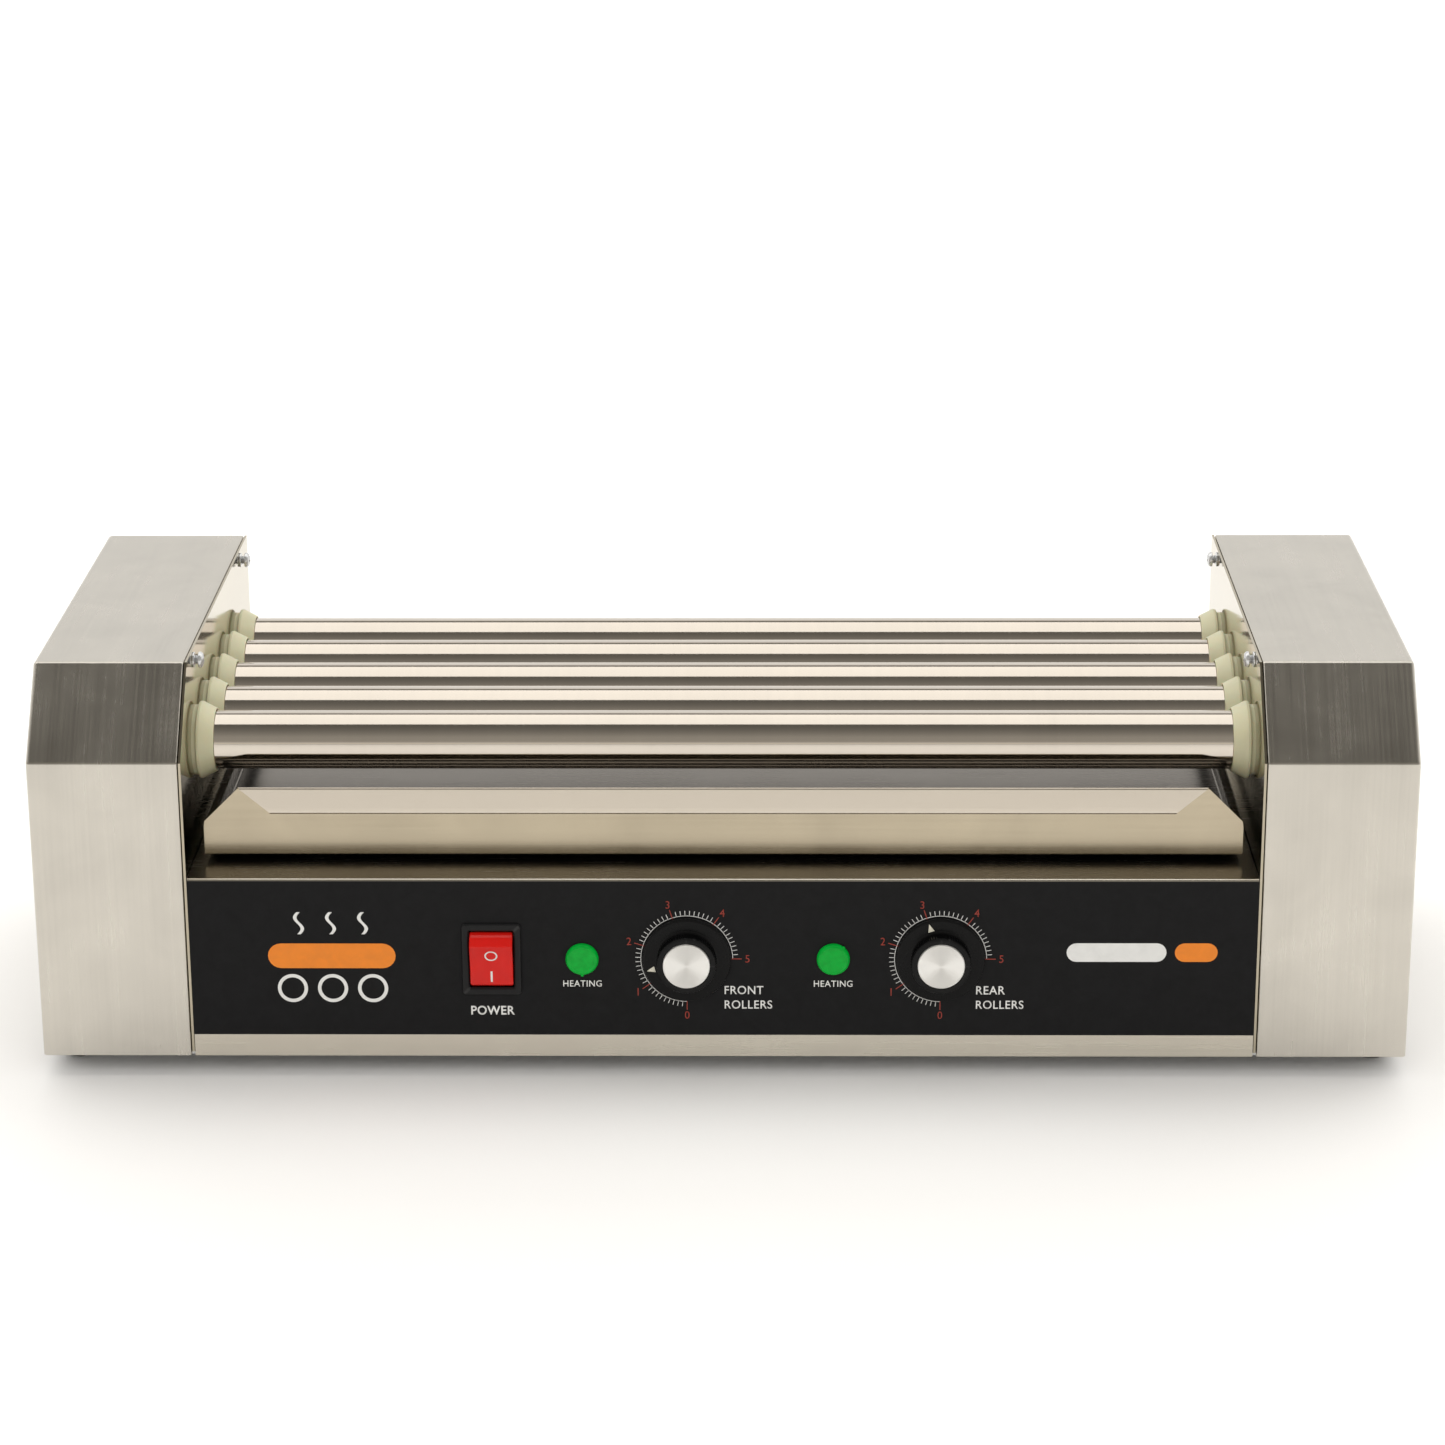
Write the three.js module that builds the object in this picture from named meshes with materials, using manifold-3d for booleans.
// Hot dog roller grill: five heated rollers between two sheet-steel end casings, on a base box that
// carries the control panel, with a drip tray that slides out to the front.
// Millimetres. +X runs along the rollers, +Y from the front to the rear, +Z up.
// While the pieces are built, y = 0 is the front face of the casings and z = 0 their lower edge; the
// exported group then moves the whole grill so that its origin is the middle of its footprint, on the
// surface that the feet stand on.
import * as THREE from "three";
import { mergeVertices } from "three/addons/utils/BufferGeometryUtils.js";
import Module from "manifold-3d";

const wasm = await Module();
wasm.setup();

// ---------- driving dimensions ----------

// end casings
const overallWidth = 580;
const casingDepth = 226.6;
const casingHeight = 166.4;
const casingWidth = 63.5;
const uprightHeight = 131.6; // upright part of the casing front, below the sloping face
const slopeDepth = 30.6; // how far back the sloping face reaches
const flangeWidth = 10; // return flange round the open side of a casing
const wireHoleRadius = 7; // through the left side plate, for the heater wires
const wireHoleSetback = 36; // from the rear face
const sheet = 1; // thickness of the folded steel

// clearances
const seat = 0.1; // between pieces that rest on or are fixed to each other
const slip = 0.3; // between pieces that are slid or folded together
const screwClearance = 0.3; // on the radius, round a screw

// base box
const baseHeight = 80.3;
const plateLift = 0.3; // underside of the base plate above the lower edge of the casings
const footHeight = 9.5;
const footRadius = 9;
const footInset = 11; // from the casing's outer face to the foot's axis
const footSetback = 28; // from the front or rear face to the foot's axis

// rollers
const rollerCount = 5;
const rollerRadius = 12.5;
const rollerWall = 1.2;
const rollerGap = 8.6; // between neighbouring rollers
const rollerAxisHeight = 126.7;
const rollerEndFloat = 0.8; // between a bush and the roller's shoulder
const leftJournalLength = 6;
const journalRadius = 8;
const journalBoreRadius = 5.6;
const turnedSegments = 20;

// roller bushes, whose cone keeps grease off the side plate
const bushLipWall = 0.65; // wall at the cone's thin end
const bushNeckWall = 2.15;
const bushConeWall = 3.65; // wall at the cone's thick end
const bushStandoff = 1.9; // gap between the cone and the side plate
const bushConeLength = 7.3;
const bushTail = 2.6; // how far the neck passes the side plate
const bushRunningClearance = 0.35; // on the radius, round the roller

// heating elements
const heaterRadius = 4;
const heaterHoleRadius = 4.6;
const heaterBarOffset = 35.5; // from the casing's inner edge to the heater bar
const heaterTail = 6; // how far the sheath passes the heater bar
const heaterBarHeight = 20;
const heaterBarThickness = 1.2;
const heaterBarReach = 22; // past the axes of the end rollers, clear of the chain
const terminalRadius = 1.6;
const terminalLength = 9;

// chain drive, quarter-inch pitch
const chainPitch = 6.35;
const rollerTeeth = 14;
const motorTeeth = 12;
const sprocketWidth = 2.8;
const sprocketOffset = 11.5; // from the casing's inner edge to the chain's plane
const chainRollerRadius = 1.65;
const hubChainGap = 1.05; // between a hub and the chain's link plates
const hubLength = 5.4;
const chainHalfWidth = 3.4;
const chainGrooveHalfWidth = 1.9;
const chainPlateHalfHeight = 2.6;
const chainTipClearance = 0.7;
const chainBackThickness = 1.4;

// gear motor
const motorRadius = 29;
const motorLength = 46;
const motorAxisHeight = 40;
const gearboxRadius = 31;
const gearboxLength = 12;
const motorShaftRadius = 4;
const motorShaftDepth = 14;
const motorShaftHoleRadius = 9;

// drip tray
const traySideGap = 5.2; // between the tray and each side plate
const traySheet = 0.8;
const trayFrontSetback = 21.6;
const trayRearGap = 14; // from the tray to the rear face of the grill
const trayWallHeight = 16;
const trayRollerGap = 0.7; // between the front plate's top and the rollers
const trayCornerCut = 15.5; // chamfer on the top corners of the front plate
const trayRimWidth = 4;
const trayHemWidth = 10;
const trayHemMitre = 12.5; // how much shorter the hem's free edge is at each end
const trayRunnerHeight = 1.7; // pressed runners that the tray slides on
const trayRunnerWidth = 6;
const trayRunnerInset = 12;

// control panel
const panelBottom = 10;
const panelTop = 79.5;
const panelThickness = 0.5;
const controlHeight = 44.75; // centre line of the switch, lamps and knobs
const switchX = -97.4;
const lampX = [-59.2, 46.8];
const knobX = [-15, 92];
const controlNames = ["front", "rear"];

// rocker switch
const bezelSideRim = 1.6; // how far the bezel overhangs the body at each side
const bezelEndRim = 0.9; // and at the top and bottom
const bezelThickness = 1.7;
const switchSideWall = 1.4;
const switchEndWall = 0.7;
const switchBodyDepth = 24;
const switchPocketDepth = 17;
const rockerWidth = 18.2;
const rockerSideClearance = 0.3;
const rockerEndClearance = 0.1;
const rockerWindowClearance = 0.35;
const rockerEndRadius = 14.1; // the rocker's end faces are round its pivot
const rockerPivotDepth = 6; // behind the front wall of the base box
const rockerFrontReach = 10.6; // from the pivot to the line through the rocker's front edges
const rockerDish = 1.1; // hollow of the rocker's front face
const rockerEndAngle = 56; // degrees from the front where each end face stops
const rockerHubRadius = 4;
const rockerTilt = 10; // degrees each way from the middle

// indicator lamps
const lampLensRadius = 7;
const lampLensProud = 2.8;
const lampStemRadius = 5.8;
const lampBodyRadius = 7;
const lampStemLength = 4;
const lampBodyLength = 22;

// thermostats and their knobs
const skirtRadius = 18.6;
const skirtThickness = 1.6;
const skirtGap = 0.8;
const gripRadius = 12.6;
const gripLength = 6.2;
const capRadius = 9.9;
const capThickness = 1.3;
const capProud = 0.5;
const spindleRadius = 3;
const spindleClearance = 0.3;
const spindleInside = 12; // length behind the front wall
const knobBoreDepth = 5.6;
const thermostatNeckRadius = 5;
const thermostatWidth = 42;
const thermostatHeight = 34;
const thermostatDepth = 27;

// cover screws
const screwHeadRadius = 3.4;
const screwHeadHeight = 2.4;
const screwShankRadius = 2;
const screwLength = 10.5;
const screwStandoff = 2.4; // the heads stand off the side plate
const screwDrop = 4.6; // below the top face of the casing
const screwFrontSetback = 48; // from the casing's front face
const screwRearSetback = 26.6; // from its rear face

// rear cable gland and the terminal block behind it
const glandX = -180;
const glandHeight = 30;
const glandThreadRadius = 8;
const glandHexRadius = 12;
const glandHexLength = 7;
const glandDomeRadius = 9.5;
const glandDomeLength = 8;
const glandBoreRadius = 4;
const glandNutLength = 4;
const terminalBlockSize = [62, 22, 17];
const terminalBlockSetback = 60; // from the rear face to the block's front
const terminalWays = 5;
const terminalWellWidth = 7;
const terminalWellMargin = 4;
const terminalWellFloor = 6;

// slots in the base plate
const ventRows = 2;
const ventsPerRow = 7;
const ventLength = 40;
const ventWidth = 5;
const ventPitch = 55;

// ---------- values that follow from them ----------

const half = overallWidth / 2;
const casingInner = half - casingWidth;
const plateOuter = casingInner - slip;
const plateInner = plateOuter - sheet;
const boxHalf = plateInner - slip;
const basePlateTop = plateLift + sheet;
const rollerMiddle = casingDepth / 2;
const rollerPitch = 2 * rollerRadius + rollerGap;
const rollerFirst = rollerMiddle - (rollerPitch * (rollerCount - 1)) / 2;
const rollerY = Array.from({ length: rollerCount }, (_, i) => rollerFirst + rollerPitch * i);
const bushBoreRadius = rollerRadius + bushRunningClearance;
const bushNeckRadius = bushBoreRadius + bushNeckWall;
const bushConeBase = plateInner - bushStandoff;
const bushConeTip = bushConeBase - bushConeLength;
const bushEnd = plateOuter + bushTail;
const rollerShoulder = bushEnd + rollerEndFloat;
const sprocketPlane = casingInner + sprocketOffset;
const heaterBarX = casingInner + heaterBarOffset;
const heaterBarFirst = rollerFirst - heaterBarReach;
const heaterBarLast = rollerY[rollerCount - 1] + heaterBarReach;
const trayHalfWidth = plateInner - traySideGap;
const trayDepth = casingDepth - trayFrontSetback - trayRearGap;
const trayUnderside = baseHeight + slip + trayRunnerHeight;
const trayFrontTop = rollerAxisHeight - rollerRadius - trayRollerGap;
const screwSetbacks = [screwFrontSetback, casingDepth - screwRearSetback];
const panelFront = -(seat + panelThickness);
const bezelBack = panelFront - seat;
const switchOpenWidth = rockerWidth + 2 * rockerSideClearance;
const switchWindowHeight =
  2 * (Math.sqrt(rockerEndRadius ** 2 - (rockerPivotDepth - bezelBack) ** 2) + rockerWindowClearance);
const switchPocketHeight = 2 * (rockerEndRadius + rockerEndClearance);
const switchBodyWidth = switchOpenWidth + 2 * switchSideWall;
const switchBodyHeight = switchPocketHeight + 2 * switchEndWall;
const bezelWidth = switchBodyWidth + 2 * bezelSideRim;
const bezelHeight = switchBodyHeight + 2 * bezelEndRim;
const pitchRadius = (teeth) => chainPitch / (2 * Math.sin(Math.PI / teeth));
const hubRadius = (teeth) => pitchRadius(teeth) - chainPlateHalfHeight - hubChainGap;
const tipRadius = (teeth) => (chainPitch * (0.6 + 1 / Math.tan(Math.PI / teeth))) / 2;
const knobFace = panelFront - skirtGap - skirtThickness - gripLength;
const frontmost = knobFace - capProud;
const rearmost = casingDepth + seat + glandHexLength + glandDomeLength;

// ---------- materials ----------

const finish = (color, roughness, metalness) =>
  new THREE.MeshStandardMaterial({ color, roughness, metalness });
const brushedSteel = finish(0xc9c5bd, 0.42, 1);
const polishedSteel = finish(0xd2cec6, 0.16, 1);
const traySteel = finish(0xcfc8ba, 0.3, 1);
const zincSteel = finish(0xb7b9ba, 0.35, 1);
const bushPlastic = finish(0xe6e2c0, 0.5, 0);
const panelFilm = finish(0x1d1d1f, 0.6, 0);
const blackPlastic = finish(0x141415, 0.4, 0);
const redPlastic = finish(0xc4161a, 0.3, 0);
const greenLens = finish(0x0cb455, 0.2, 0);
const turnedAluminium = finish(0xe3e1dc, 0.28, 1);
const rubber = finish(0x1a1a1a, 0.85, 0);
const heaterSheath = finish(0x6e6a62, 0.5, 1);
const chainSteel = finish(0x5e5a54, 0.4, 1);
const motorPaint = finish(0x8c8f92, 0.5, 0.6);
const ceramic = finish(0xe9e4d6, 0.6, 0);

// ---------- solids ----------

// A closed geometry as a solid that can be joined and cut.
function solid(geometry) {
  const bare = geometry.clone();
  bare.deleteAttribute("normal");
  bare.deleteAttribute("uv");
  const merged = mergeVertices(bare, 1e-4);
  return new wasm.Manifold(
    new wasm.Mesh({
      numProp: 3,
      vertProperties: merged.attributes.position.array,
      triVerts: new Uint32Array(merged.index.array),
    }),
  );
}

function geometryOf(body) {
  const mesh = body.getMesh();
  const geometry = new THREE.BufferGeometry();
  geometry.setAttribute("position", new THREE.BufferAttribute(mesh.vertProperties, 3));
  geometry.setIndex(new THREE.BufferAttribute(mesh.triVerts, 1));
  geometry.computeVertexNormals();
  return geometry;
}

const join = (...bodies) => bodies.reduce((a, b) => a.add(b));
const cut = (body, ...tools) => tools.reduce((a, b) => a.subtract(b), body);

// A box between two corners.
function box(low, high) {
  const size = high.map((v, i) => v - low[i]);
  const geometry = new THREE.BoxGeometry(...size);
  geometry.translate(...high.map((v, i) => (v + low[i]) / 2));
  return solid(geometry);
}

const outline = (points) => new THREE.Shape(points.map(([a, b]) => new THREE.Vector2(a, b)));

const axisBasis = {
  X: [new THREE.Vector3(0, 1, 0), new THREE.Vector3(0, 0, 1), new THREE.Vector3(1, 0, 0)],
  Y: [new THREE.Vector3(0, 0, 1), new THREE.Vector3(1, 0, 0), new THREE.Vector3(0, 1, 0)],
  Z: [new THREE.Vector3(1, 0, 0), new THREE.Vector3(0, 1, 0), new THREE.Vector3(0, 0, 1)],
};

// An outline carried along an axis from one place to another. Its points are (y, z) along X,
// (z, x) along Y and (x, y) along Z.
function extrude(points, axis, from, to) {
  const geometry = new THREE.ExtrudeGeometry(outline(points), { depth: to - from, bevelEnabled: false });
  geometry.translate(0, 0, from);
  geometry.applyMatrix4(new THREE.Matrix4().makeBasis(...axisBasis[axis]));
  return solid(geometry);
}

// A turned solid round an axis through `centre`. The profile's points are (radius, place along the
// axis), run with the material on the left, and start and end on the axis or close on themselves.
function turned(profile, axis, centre = [0, 0, 0], segments = turnedSegments) {
  const points = profile.map(([r, along]) => new THREE.Vector2(r, along));
  const geometry = new THREE.LatheGeometry(points, segments);
  const [a, b, c] = axisBasis[axis];
  geometry.applyMatrix4(new THREE.Matrix4().makeBasis(b, c, a));
  geometry.translate(...centre);
  return solid(geometry);
}

const rod = (radius, axis, from, to, centre, segments) =>
  turned([[0, from], [radius, from], [radius, to], [0, to]], axis, centre, segments);

const ring = (outer, inner, from, to) => [
  [inner, from],
  [outer, from],
  [outer, to],
  [inner, to],
  [inner, from],
];

const polar = (radius, degrees) => [
  radius * Math.cos(THREE.MathUtils.degToRad(degrees)),
  radius * Math.sin(THREE.MathUtils.degToRad(degrees)),
];

// ---------- the grill ----------

const grill = new THREE.Group();
grill.position.set(0, -(frontmost + rearmost) / 2, footHeight);

function add(name, body, material, parent = grill) {
  const mesh = new THREE.Mesh(geometryOf(body), material);
  mesh.name = name;
  parent.add(mesh);
  return mesh;
}

// The side view of a casing, drawn in from its outside by `inset`, down to `bottom`.
function casingProfile(inset, bottom) {
  const rise = casingHeight - uprightHeight;
  const slope = Math.hypot(rise, slopeDepth);
  const top = casingHeight - inset;
  return [
    [inset, bottom],
    [casingDepth - inset, bottom],
    [casingDepth - inset, top],
    [(inset * slope + slopeDepth * (top - uprightHeight)) / rise, top],
    [inset, uprightHeight + (inset * (rise - slope)) / slopeDepth],
  ];
}

// The same span on the left or the right of the grill.
const span = (side, a, b) => (side < 0 ? [-b, -a] : [a, b]);
const sides = { left: -1, right: 1 };

function screwRods(side, radius, from, to) {
  return screwSetbacks.map((y) =>
    rod(radius, "X", ...span(side, from, to), [0, y, casingHeight - screwDrop], 12),
  );
}

function casing(side) {
  const shell = extrude(casingProfile(0, 0), "X", ...span(side, casingInner, half));
  const inside = casingProfile(sheet, -1);
  const hollow = extrude(inside, "X", ...span(side, casingInner + sheet, half - sheet));
  const mouth = extrude(
    casingProfile(sheet + flangeWidth, -1),
    "X",
    ...span(side, casingInner - 1, casingInner + sheet + 1),
  );
  const foot = [basePlateTop + slip, casingInner - 1, casingInner + sheet + 1];
  const [x0, x1] = span(side, foot[1], foot[2]);
  const footNotch = box([x0, sheet, -1], [x1, casingDepth - sheet, foot[0]]);
  const holes = screwRods(side, screwShankRadius + screwClearance, casingInner - 1, casingInner + 3);
  return cut(shell, hollow, mouth, footNotch, ...holes);
}

function sidePlate(side) {
  const bottom = basePlateTop + slip;
  const plate = extrude(casingProfile(slip, bottom), "X", ...span(side, plateInner, plateOuter));
  const [from, to] = span(side, plateInner - 1, plateOuter + 1);
  const bushHoles = rollerY.map((y) =>
    rod(bushNeckRadius + seat, "X", from, to, [0, y, rollerAxisHeight]),
  );
  const holes = screwRods(side, screwShankRadius + screwClearance, plateInner - 1, plateOuter + 1);
  const wirePlace = [0, casingDepth - wireHoleSetback, glandHeight];
  const wireHole = rod(wireHoleRadius, "X", from, to, wirePlace, 12);
  const shaftHole = rod(motorShaftHoleRadius, "X", from, to, [0, rollerMiddle, motorAxisHeight]);
  return cut(plate, ...bushHoles, ...holes, side > 0 ? shaftHole : wireHole);
}

for (const [sideName, side] of Object.entries(sides)) {
  add(`${sideName}_casing`, casing(side), brushedSteel);
  add(`${sideName}_side_plate`, sidePlate(side), polishedSteel);
}

// Base box: one sheet folded into front wall, deck and rear wall.
function baseHousing() {
  const folded = extrude(
    [
      [0, 0],
      [sheet, 0],
      [sheet, baseHeight - sheet],
      [casingDepth - sheet, baseHeight - sheet],
      [casingDepth - sheet, 0],
      [casingDepth, 0],
      [casingDepth, baseHeight],
      [0, baseHeight],
    ],
    "X",
    -boxHalf,
    boxHalf,
  );
  const switchHole = box(
    [switchX - switchBodyWidth / 2 - slip, -1, controlHeight - switchBodyHeight / 2 - slip],
    [switchX + switchBodyWidth / 2 + slip, sheet + 1, controlHeight + switchBodyHeight / 2 + slip],
  );
  const lampHoles = lampX.map((x) =>
    rod(lampStemRadius + slip, "Y", -1, sheet + 1, [x, 0, controlHeight], 16),
  );
  const neckHoles = knobX.map((x) =>
    rod(thermostatNeckRadius + slip, "Y", -1, sheet + 1, [x, 0, controlHeight], 16),
  );
  const glandHole = rod(
    glandThreadRadius + slip,
    "Y",
    casingDepth - sheet - 1,
    casingDepth + 1,
    [glandX, 0, glandHeight],
    16,
  );
  return cut(folded, switchHole, ...lampHoles, ...neckHoles, glandHole);
}

function basePlate() {
  const edge = half - sheet - slip;
  const wall = sheet + slip;
  const plate = box([-edge, wall, plateLift], [edge, casingDepth - wall, basePlateTop]);
  const slots = [];
  for (let row = 0; row < ventRows; row++) {
    const y = (casingDepth * (row + 1)) / (ventRows + 1);
    for (let i = 0; i < ventsPerRow; i++) {
      const x = (i - (ventsPerRow - 1) / 2) * ventPitch;
      slots.push(
        box(
          [x - ventLength / 2, y - ventWidth / 2, plateLift - 1],
          [x + ventLength / 2, y + ventWidth / 2, basePlateTop + 1],
        ),
      );
    }
  }
  return cut(plate, ...slots);
}

add("base_housing", baseHousing(), brushedSteel);
add("base_plate", basePlate(), zincSteel);

// Rollers: thin tubes with necked ends that carry the sprockets on the right.
function roller(y) {
  const leftEnd = -(rollerShoulder + leftJournalLength);
  const rightEnd = sprocketPlane + sprocketWidth / 2 + hubLength + 0.5;
  const neckInside = rollerShoulder - rollerWall;
  const profile = [
    [journalBoreRadius, leftEnd],
    [journalRadius, leftEnd],
    [journalRadius, -rollerShoulder],
    [rollerRadius, -rollerShoulder],
    [rollerRadius, rollerShoulder],
    [journalRadius, rollerShoulder],
    [journalRadius, rightEnd],
    [journalBoreRadius, rightEnd],
    [journalBoreRadius, neckInside],
    [rollerRadius - rollerWall, neckInside],
    [rollerRadius - rollerWall, -neckInside],
    [journalBoreRadius, -neckInside],
    [journalBoreRadius, leftEnd],
  ];
  return turned(profile, "X", [0, y, rollerAxisHeight]);
}

function bush(side, y) {
  const bore = bushBoreRadius;
  const profile = [
    [bore, bushConeTip],
    [bore + bushLipWall, bushConeTip],
    [bore + bushConeWall, bushConeBase - 1],
    [bore + bushConeWall, bushConeBase],
    [bushNeckRadius, bushConeBase],
    [bushNeckRadius, bushEnd],
    [bore, bushEnd],
    [bore, bushConeTip],
  ];
  const placed = side > 0 ? profile : profile.map(([r, x]) => [r, -x]).reverse();
  return turned(placed, "X", [0, y, rollerAxisHeight]);
}

// A sprocket's outline: a root land and a tooth with straight flanks, once per tooth.
function sprocketOutline(teeth, centre, phase) {
  const root = pitchRadius(teeth) - chainRollerRadius;
  const tip = tipRadius(teeth);
  const step = 360 / teeth;
  const points = [];
  for (let i = 0; i < teeth; i++) {
    const middle = phase + i * step;
    points.push(polar(root, middle - step * 0.32));
    points.push(polar(tip, middle - step * 0.12));
    points.push(polar(tip, middle + step * 0.12));
    points.push(polar(root, middle + step * 0.32));
  }
  return points.map(([a, b]) => [a + centre[0], b + centre[1]]);
}

function rollerSprocket(y) {
  const centre = [y, rollerAxisHeight];
  const from = sprocketPlane - sprocketWidth / 2;
  const to = sprocketPlane + sprocketWidth / 2;
  const disc = extrude(sprocketOutline(rollerTeeth, centre, 90), "X", from, to);
  const place = [0, y, rollerAxisHeight];
  const hub = rod(hubRadius(rollerTeeth), "X", sprocketPlane, to + hubLength, place);
  const bore = rod(journalRadius + seat, "X", from - 1, to + hubLength + 1, place);
  return cut(join(disc, hub), bore);
}

// Heating element: a straight sheath with a ceramic end and a terminal pin at each end.
function heater(y) {
  const end = heaterBarX + heaterBarThickness + heaterTail;
  const tip = end + terminalLength;
  const profile = [
    [0, -tip],
    [terminalRadius, -tip],
    [terminalRadius, -end],
    [heaterRadius, -end],
    [heaterRadius, end],
    [terminalRadius, end],
    [terminalRadius, tip],
    [0, tip],
  ];
  return turned(profile, "X", [0, y, rollerAxisHeight], 12);
}

rollerY.forEach((y, i) => {
  const number = i + 1;
  add(`roller_${number}`, roller(y), polishedSteel);
  add(`left_bush_${number}`, bush(-1, y), bushPlastic);
  add(`right_bush_${number}`, bush(1, y), bushPlastic);
  add(`sprocket_${number}`, rollerSprocket(y), chainSteel);
  add(`heater_${number}`, heater(y), heaterSheath);
});

// Heater bar: a strip across the heater ends on two legs that stand on the side plate, clear of the
// casing's flange where it follows the sloping face.
function heaterBar(side) {
  const low = rollerAxisHeight - heaterBarHeight / 2;
  const high = rollerAxisHeight + heaterBarHeight / 2;
  const [x0, x1] = span(side, heaterBarX, heaterBarX + heaterBarThickness);
  const [l0, l1] = span(side, plateOuter + seat, heaterBarX + heaterBarThickness);
  const strip = box([x0, heaterBarFirst, low], [x1, heaterBarLast, high]);
  const legTop = rollerAxisHeight;
  const frontLeg = box([l0, heaterBarFirst, low], [l1, heaterBarFirst + heaterBarThickness, legTop]);
  const rearLeg = box([l0, heaterBarLast - heaterBarThickness, low], [l1, heaterBarLast, legTop]);
  const holes = rollerY.map((y) =>
    rod(heaterHoleRadius, "X", x0 - 1, x1 + 1, [0, y, rollerAxisHeight], 12),
  );
  return cut(join(strip, frontLeg, rearLeg), ...holes);
}

for (const [sideName, side] of Object.entries(sides))
  add(`${sideName}_heater_bar`, heaterBar(side), zincSteel);

// Gear motor: its gearbox is fixed to the right side plate, inside the base box.
function gearMotor() {
  const face = plateInner - seat;
  const place = [0, rollerMiddle, motorAxisHeight];
  const gearbox = rod(gearboxRadius, "X", face - gearboxLength, face, place);
  const can = rod(motorRadius, "X", face - gearboxLength - motorLength, face - gearboxLength + 1, place);
  const bore = rod(motorShaftRadius + spindleClearance, "X", face - motorShaftDepth, face + 1, place, 16);
  return cut(join(gearbox, can), bore);
}

function driveSprocket() {
  const place = [0, rollerMiddle, motorAxisHeight];
  const from = sprocketPlane - sprocketWidth / 2;
  const to = sprocketPlane + sprocketWidth / 2;
  const centre = [rollerMiddle, motorAxisHeight];
  const disc = extrude(sprocketOutline(motorTeeth, centre, 90), "X", from, to);
  const hub = rod(hubRadius(motorTeeth), "X", from - hubLength, sprocketPlane, place, 16);
  const shaft = rod(motorShaftRadius, "X", plateInner - motorShaftDepth + 1, to + 2, place, 16);
  return join(disc, hub, shaft);
}

// The chain's run round the end sprockets and the motor's, `offset` outside the pitch line.
function chainRun(offset) {
  const wheels = [
    [rollerY[0], rollerAxisHeight, pitchRadius(rollerTeeth) + offset],
    [rollerMiddle, motorAxisHeight, pitchRadius(motorTeeth) + offset],
    [rollerY[rollerCount - 1], rollerAxisHeight, pitchRadius(rollerTeeth) + offset],
  ];
  // The direction, in degrees, in which the strand from one wheel to the next touches both.
  const touch = wheels.map(([y, z, r], i) => {
    const [y2, z2, r2] = wheels[(i + 1) % wheels.length];
    const heading = Math.atan2(z2 - z, y2 - y);
    const lean = Math.acos((r - r2) / Math.hypot(y2 - y, z2 - z));
    return THREE.MathUtils.radToDeg(heading - lean);
  });
  const points = [];
  wheels.forEach(([y, z, r], i) => {
    const start = touch[(i + wheels.length - 1) % wheels.length];
    const sweep = (((touch[i] - start) % 360) + 360) % 360;
    const steps = Math.ceil(sweep / 15);
    for (let k = 0; k <= steps; k++) {
      const [a, b] = polar(r, start + (sweep * k) / steps);
      points.push([y + a, z + b]);
    }
  });
  return points;
}

// The chain stands as one loop: its link plates run each side of the teeth and join outside them.
function driveChain() {
  const clear = tipRadius(rollerTeeth) - pitchRadius(rollerTeeth) + chainTipClearance;
  const from = sprocketPlane - chainHalfWidth;
  const to = sprocketPlane + chainHalfWidth;
  const whole = extrude(chainRun(clear + chainBackThickness), "X", from, to);
  const inside = extrude(chainRun(-chainPlateHalfHeight), "X", from - 1, to + 1);
  const groove = extrude(
    chainRun(clear),
    "X",
    sprocketPlane - chainGrooveHalfWidth,
    sprocketPlane + chainGrooveHalfWidth,
  );
  return cut(whole, inside, groove);
}

add("gear_motor", gearMotor(), motorPaint);
add("drive_sprocket", driveSprocket(), chainSteel);
add("drive_chain", driveChain(), chainSteel);

// Drip tray: one sheet with a rim turned in, runners pressed in its floor, and a taller front plate
// with cut corners whose top is hemmed over.
function dripTray() {
  const front = trayFrontSetback;
  const rear = front + trayDepth;
  const floor = trayUnderside;
  const rim = floor + trayWallHeight;
  const inner = trayHalfWidth - traySheet;
  const tub = box([-trayHalfWidth, front, floor], [trayHalfWidth, rear, rim]);
  const hollow = box(
    [-inner, front + traySheet, floor + traySheet],
    [inner, rear - traySheet, rim - traySheet],
  );
  const mouth = box(
    [-trayHalfWidth + trayRimWidth, front + traySheet, rim - traySheet - 1],
    [trayHalfWidth - trayRimWidth, rear - trayRimWidth, rim + 1],
  );
  const top = trayFrontTop;
  const corner = trayHalfWidth - trayCornerCut;
  const frontOutline = [
    [top, -corner],
    [top, corner],
    [top - trayCornerCut, trayHalfWidth],
    [floor, trayHalfWidth],
    [floor, -trayHalfWidth],
    [top - trayCornerCut, -trayHalfWidth],
  ];
  const frontPlate = extrude(frontOutline, "Y", front, front + traySheet);
  const hem = extrude(
    [
      [top, -corner],
      [top, corner],
      [top - trayHemWidth, corner - trayHemMitre],
      [top - trayHemWidth, -corner + trayHemMitre],
    ],
    "Y",
    front - traySheet,
    front + traySheet / 2,
  );
  const runnerX = trayHalfWidth - trayRunnerInset;
  const runners = [-runnerX, runnerX].map((x) =>
    box(
      [x - trayRunnerWidth / 2, front + traySheet, floor - trayRunnerHeight],
      [x + trayRunnerWidth / 2, rear - trayRimWidth, floor + traySheet / 2],
    ),
  );
  return join(cut(tub, hollow, mouth), frontPlate, hem, ...runners);
}

add("drip_tray", dripTray(), traySteel);

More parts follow.
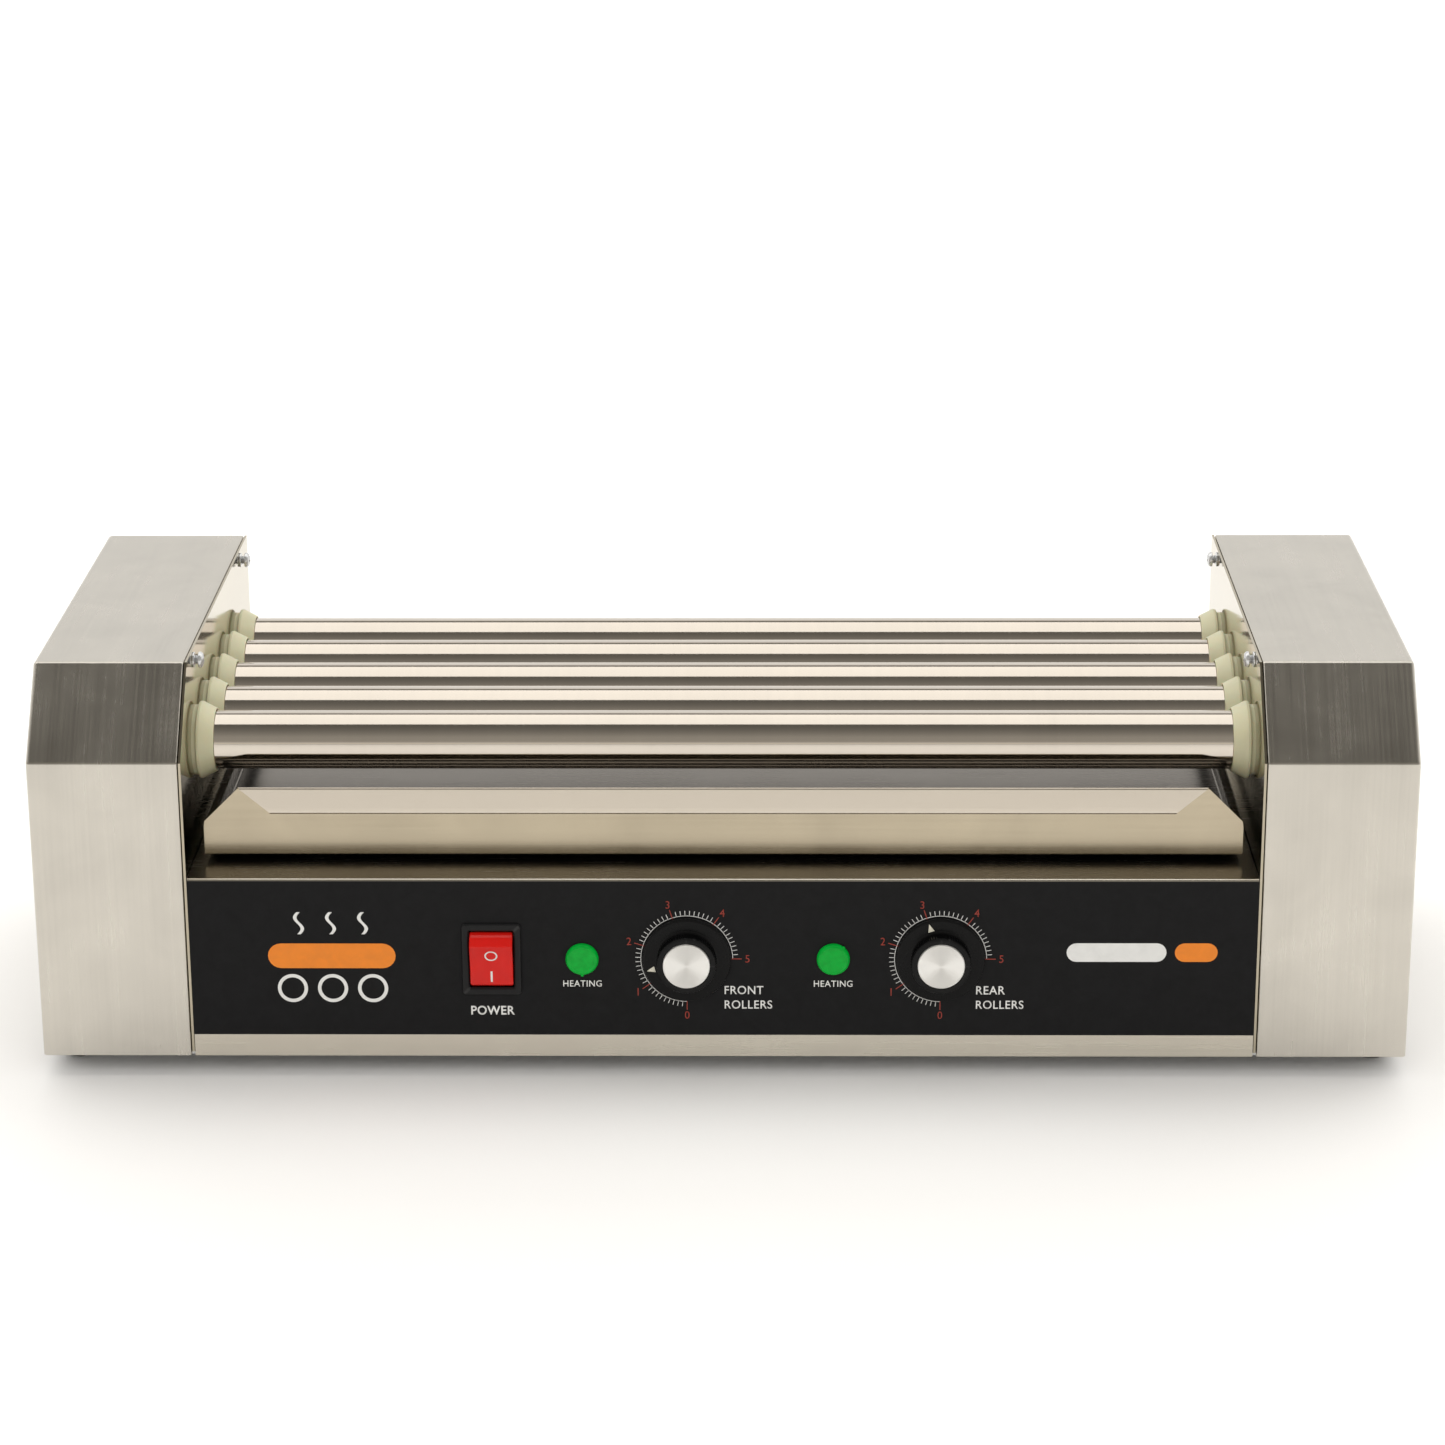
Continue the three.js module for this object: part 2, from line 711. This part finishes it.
// Control panel: a printed film on the front wall, open round each control.
function controlPanel() {
  const film = box([-boxHalf, panelFront, panelBottom], [boxHalf, -seat, panelTop]);
  const switchHole = box(
    [switchX - switchBodyWidth / 2 - slip, panelFront - 1, controlHeight - switchBodyHeight / 2 - slip],
    [switchX + switchBodyWidth / 2 + slip, 1, controlHeight + switchBodyHeight / 2 + slip],
  );
  const lampHoles = lampX.map((x) =>
    rod(lampStemRadius + slip, "Y", panelFront - 1, 1, [x, 0, controlHeight], 16),
  );
  const neckHoles = knobX.map((x) =>
    rod(thermostatNeckRadius + slip, "Y", panelFront - 1, 1, [x, 0, controlHeight], 16),
  );
  return cut(film, switchHole, ...lampHoles, ...neckHoles);
}

add("control_panel", controlPanel(), panelFilm);

function switchHousing() {
  const place = (width, height, from, to) =>
    box(
      [switchX - width / 2, from, controlHeight - height / 2],
      [switchX + width / 2, to, controlHeight + height / 2],
    );
  const bezelFront = bezelBack - bezelThickness;
  const bezel = place(bezelWidth, bezelHeight, bezelFront, bezelBack);
  const body = place(switchBodyWidth, switchBodyHeight, bezelBack - 0.5, switchBodyDepth);
  const window = place(switchOpenWidth, switchWindowHeight, bezelFront - 1, bezelBack + 1);
  const pocket = place(switchOpenWidth, switchPocketHeight, bezelBack, switchPocketDepth);
  return cut(join(bezel, body), window, pocket);
}

// Rocker, with its lower half pressed in. Its ends are round the pivot, so they stay in the window.
function switchRocker() {
  const frontAngle = THREE.MathUtils.radToDeg(Math.acos(rockerFrontReach / rockerEndRadius));
  const endPoint = (degrees) => {
    const [reach, rise] = polar(rockerEndRadius, degrees);
    return [-reach, rise];
  };
  const steps = 3;
  const end = (sign) =>
    Array.from({ length: steps + 1 }, (_, i) =>
      endPoint(sign * (frontAngle + ((rockerEndAngle - frontAngle) * i) / steps)),
    );
  const neutral = [
    [dishFloor(), 0],
    ...end(1),
    [0, rockerHubRadius],
    [rockerHubRadius, 0],
    [0, -rockerHubRadius],
    ...end(-1).reverse(),
  ];
  const tilt = THREE.MathUtils.degToRad(rockerTilt);
  const profile = neutral.map(([y, z]) => [
    rockerPivotDepth + y * Math.cos(tilt) - z * Math.sin(tilt),
    controlHeight + y * Math.sin(tilt) + z * Math.cos(tilt),
  ]);
  return extrude(profile, "X", switchX - rockerWidth / 2, switchX + rockerWidth / 2);
}

function dishFloor() {
  return -(rockerFrontReach - rockerDish);
}

add("switch_housing", switchHousing(), blackPlastic);
add("switch_rocker", switchRocker(), redPlastic);

// Indicator lamp: a domed lens outside the panel, a stem through it and a body behind it.
function lamp(x) {
  const rim = panelFront - seat;
  const front = rim - lampLensProud;
  const stemEnd = sheet + seat;
  const profile = [
    [0, front],
    [lampLensRadius * 0.55, front + 0.35],
    [lampLensRadius * 0.88, front + 1.2],
    [lampLensRadius, front + 2],
    [lampLensRadius, rim],
    [lampStemRadius, rim],
    [lampStemRadius, stemEnd],
    [lampBodyRadius, stemEnd],
    [lampBodyRadius, stemEnd + lampStemLength],
    [lampStemRadius, stemEnd + lampStemLength],
    [lampStemRadius, stemEnd + lampBodyLength],
    [0, stemEnd + lampBodyLength],
  ];
  return turned(profile, "Y", [x, 0, controlHeight], 20);
}

function thermostat(x) {
  const back = sheet + seat;
  const place = [x, 0, controlHeight];
  const body = box(
    [x - thermostatWidth / 2, back, controlHeight - thermostatHeight / 2],
    [x + thermostatWidth / 2, back + thermostatDepth, controlHeight + thermostatHeight / 2],
  );
  const neck = rod(thermostatNeckRadius, "Y", panelFront, back + 1, place, 16);
  const bore = rod(
    spindleRadius + spindleClearance,
    "Y",
    panelFront - 1,
    spindleInside + slip,
    place,
    16,
  );
  return cut(join(body, neck), bore);
}

function spindle(x) {
  const tip = knobBack() - knobBoreDepth + slip;
  return rod(spindleRadius, "Y", tip, spindleInside, [x, 0, controlHeight], 16);
}

function knobBack() {
  return panelFront - skirtGap;
}

// Knob: a thin skirt that carries the pointer, a grip, and a recess for the metal cap.
function knob(x) {
  const back = knobBack();
  const skirtFront = back - skirtThickness;
  const boreRadius = spindleRadius + seat;
  const profile = [
    [0, knobFace + capThickness],
    [capRadius + seat, knobFace + capThickness],
    [capRadius + seat, knobFace],
    [gripRadius - 0.8, knobFace],
    [gripRadius, knobFace + 0.8],
    [gripRadius, skirtFront],
    [skirtRadius - 0.7, skirtFront],
    [skirtRadius, skirtFront + 0.6],
    [skirtRadius, back],
    [boreRadius, back],
    [boreRadius, back - knobBoreDepth],
    [0, back - knobBoreDepth],
  ];
  return turned(profile, "Y", [x, 0, controlHeight]);
}

function knobCap(x) {
  const back = knobFace + capThickness - seat;
  const front = knobFace - capProud;
  const profile = [
    [0, front],
    [capRadius - 0.5, front],
    [capRadius, front + 0.5],
    [capRadius, back],
    [0, back],
  ];
  return turned(profile, "Y", [x, 0, controlHeight]);
}

controlNames.forEach((name, i) => {
  add(`${name}_lamp`, lamp(lampX[i]), greenLens);
  add(`${name}_thermostat`, thermostat(knobX[i]), zincSteel);
  add(`${name}_spindle`, spindle(knobX[i]), zincSteel);
  add(`${name}_knob`, knob(knobX[i]), blackPlastic);
  add(`${name}_knob_cap`, knobCap(knobX[i]), turnedAluminium);
});

// Cover screws: their pan heads stand off the side plates, over the rollers.
function coverScrew(side, y) {
  const under = plateInner - screwStandoff;
  const top = under - screwHeadHeight;
  const profile = [
    [0, top],
    [screwHeadRadius * 0.7, top + 0.4],
    [screwHeadRadius, top + 1.2],
    [screwHeadRadius, under],
    [screwShankRadius, under],
    [screwShankRadius, under + screwLength],
    [0, under + screwLength],
  ];
  const placed = side > 0 ? profile : profile.map(([r, x]) => [r, -x]).reverse();
  return turned(placed, "X", [0, y, casingHeight - screwDrop], 12);
}

for (const [sideName, side] of Object.entries(sides))
  screwSetbacks.forEach((y, i) =>
    add(`${sideName}_cover_screw_${i + 1}`, coverScrew(side, y), zincSteel),
  );

// Rubber feet under the corners of the base plate.
function foot(x, y) {
  const top = plateLift - seat;
  const profile = [
    [0, -footHeight],
    [footRadius - 2, -footHeight],
    [footRadius - 1, -footHeight + 1],
    [footRadius, top],
    [0, top],
  ];
  return turned(profile, "Z", [x, y, 0], 16);
}

let footNumber = 0;
for (const x of [footInset - half, half - footInset])
  for (const y of [footSetback, casingDepth - footSetback]) {
    footNumber += 1;
    add(`foot_${footNumber}`, foot(x, y), rubber);
  }

// Cable gland in the rear wall, with its locknut inside the box.
function cableGland() {
  const hexagon = Array.from({ length: 6 }, (_, i) => polar(glandHexRadius, 60 * i)).map(
    ([a, b]) => [a + glandHeight, b + glandX],
  );
  const outside = casingDepth + seat;
  const inside = casingDepth - sheet - seat;
  const place = [glandX, 0, glandHeight];
  const nut = extrude(hexagon, "Y", inside - glandNutLength, inside);
  const head = extrude(hexagon, "Y", outside, outside + glandHexLength);
  const thread = rod(glandThreadRadius, "Y", inside - glandNutLength - 3, outside + 1, place, 16);
  const dome = rod(glandDomeRadius, "Y", outside + 1, rearmost, place, 16);
  const bore = rod(glandBoreRadius, "Y", inside - 20, rearmost + 1, place, 12);
  return cut(join(nut, head, thread, dome), bore);
}

// Terminal block on the base plate: a ceramic bar with a well for each way.
function terminalBlock() {
  const [length, width, height] = terminalBlockSize;
  const low = basePlateTop + seat;
  const y = casingDepth - terminalBlockSetback;
  const bar = box([glandX - length / 2, y, low], [glandX + length / 2, y + width, low + height]);
  const wellPitch = length / terminalWays;
  const wells = Array.from({ length: terminalWays }, (_, i) => {
    const x = glandX + (i - (terminalWays - 1) / 2) * wellPitch;
    return box(
      [x - terminalWellWidth / 2, y + terminalWellMargin, low + terminalWellFloor],
      [x + terminalWellWidth / 2, y + width - terminalWellMargin, low + height + 1],
    );
  });
  return cut(bar, ...wells);
}

add("cable_gland", cableGland(), blackPlastic);
add("terminal_block", terminalBlock(), ceramic);

export default grill;
